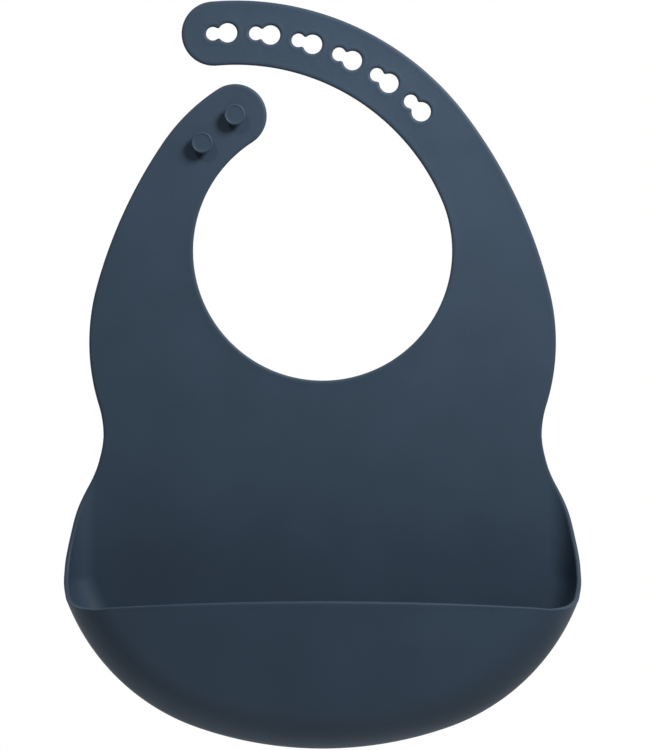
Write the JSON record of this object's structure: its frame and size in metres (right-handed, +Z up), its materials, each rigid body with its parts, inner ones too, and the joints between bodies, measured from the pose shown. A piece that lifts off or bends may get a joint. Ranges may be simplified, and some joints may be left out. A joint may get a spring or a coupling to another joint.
{
  "type": "silicone bib",
  "caption": "Child's bib moulded in thick silicone sheet: round neck opening, one strap with keyhole slots, one with mushroom pegs, and an open scoop pocket along the bottom.",
  "frame": {"origin": "centre of the neck opening, at half the sheet's thickness", "axes": "+Z up along the bib as it hangs when worn, from the pocket to the straps; -Y is the front, where the pocket and the pegs stand out; +Y faces the wearer; +X is towards the keyhole strap"},
  "size_m": [0.2118, 0.048, 0.3062],
  "materials": {
    "bib_silicone": "fine matte silicone",
    "peg_silicone": "fine matte silicone"
  },
  "bodies": {
    "chest": {"chest_panel": "bib_silicone"},
    "pocket_body": {"pocket_back": "bib_silicone", "pocket_floor": "bib_silicone", "pocket_left_side": "bib_silicone", "pocket_right_side": "bib_silicone"},
    "pocket_front": {"pocket_front": "bib_silicone"},
    "peg_strap_shoulder": {"peg_strap_shoulder": "bib_silicone"},
    "peg_strap_middle": {"peg_strap_middle": "bib_silicone", "lower_peg": "peg_silicone"},
    "peg_strap_tip": {"peg_strap_tip": "bib_silicone", "upper_peg": "peg_silicone"},
    "keyhole_strap_shoulder": {"keyhole_strap_shoulder": "bib_silicone"},
    "keyhole_strap_lower": {"keyhole_strap_lower": "bib_silicone"},
    "keyhole_strap_middle": {"keyhole_strap_middle": "bib_silicone"},
    "keyhole_strap_tip": {"keyhole_strap_tip": "bib_silicone"}
  },
  "joints": [
    {"name": "pocket_fold", "type": "hinge", "parent": "chest", "child": "pocket_body", "pos_m": [0, 0, -0.066], "axis": [-1, 0, 0], "range_deg": [-30, 75], "stiffness_Nm_per_rad": 1},
    {"name": "pocket_front_flex", "type": "hinge", "parent": "pocket_body", "child": "pocket_front", "pos_m": [0, -0.025, -0.202], "axis": [1, 0, 0], "range_deg": [-12, 15], "stiffness_Nm_per_rad": 1, "deforming": ["pocket_left_side", "pocket_right_side", "pocket_floor"]},
    {"name": "peg_shoulder_fold", "type": "hinge", "parent": "chest", "child": "peg_strap_shoulder", "pos_m": [-0.06646, 0, 0.01781], "axis": [-0.9659, 0, 0.2588], "range_deg": [-20, 75], "stiffness_Nm_per_rad": 0.2},
    {"name": "peg_strap_bend", "type": "hinge", "parent": "peg_strap_shoulder", "child": "peg_strap_middle", "pos_m": [-0.05802, 0, 0.0335], "axis": [-0.866, 0, 0.5], "range_deg": [-15, 25], "stiffness_Nm_per_rad": 0.05},
    {"name": "peg_strap_tip_bend", "type": "hinge", "parent": "peg_strap_middle", "child": "peg_strap_tip", "pos_m": [-0.04356, 0, 0.05091], "axis": [-0.6502, 0, 0.7598], "range_deg": [-15, 25], "stiffness_Nm_per_rad": 0.05},
    {"name": "keyhole_shoulder_fold", "type": "hinge", "parent": "chest", "child": "keyhole_strap_shoulder", "pos_m": [0.06646, 0, 0.01781], "axis": [-0.9659, 0, -0.2588], "range_deg": [-20, 75], "stiffness_Nm_per_rad": 0.2},
    {"name": "keyhole_strap_bend", "type": "hinge", "parent": "keyhole_strap_shoulder", "child": "keyhole_strap_lower", "pos_m": [0.0453, 0, 0.05307], "axis": [-0.7636, 0, -0.6457], "range_deg": [-15, 25], "stiffness_Nm_per_rad": 0.08},
    {"name": "keyhole_strap_middle_bend", "type": "hinge", "parent": "keyhole_strap_lower", "child": "keyhole_strap_middle", "pos_m": [0.01806, 0, 0.07604], "axis": [-0.5076, 0, -0.8616], "range_deg": [-15, 25], "stiffness_Nm_per_rad": 0.05},
    {"name": "keyhole_strap_tip_bend", "type": "hinge", "parent": "keyhole_strap_middle", "child": "keyhole_strap_tip", "pos_m": [-0.01524, 0, 0.08873], "axis": [-0.1947, 0, -0.9809], "range_deg": [-15, 25], "stiffness_Nm_per_rad": 0.05}
  ],
  "couplings": [
    {"joint": "peg_strap_tip_bend", "follows": "peg_strap_bend", "ratio": 1},
    {"joint": "keyhole_strap_middle_bend", "follows": "keyhole_strap_bend", "ratio": 1},
    {"joint": "keyhole_strap_tip_bend", "follows": "keyhole_strap_bend", "ratio": 1}
  ]
}
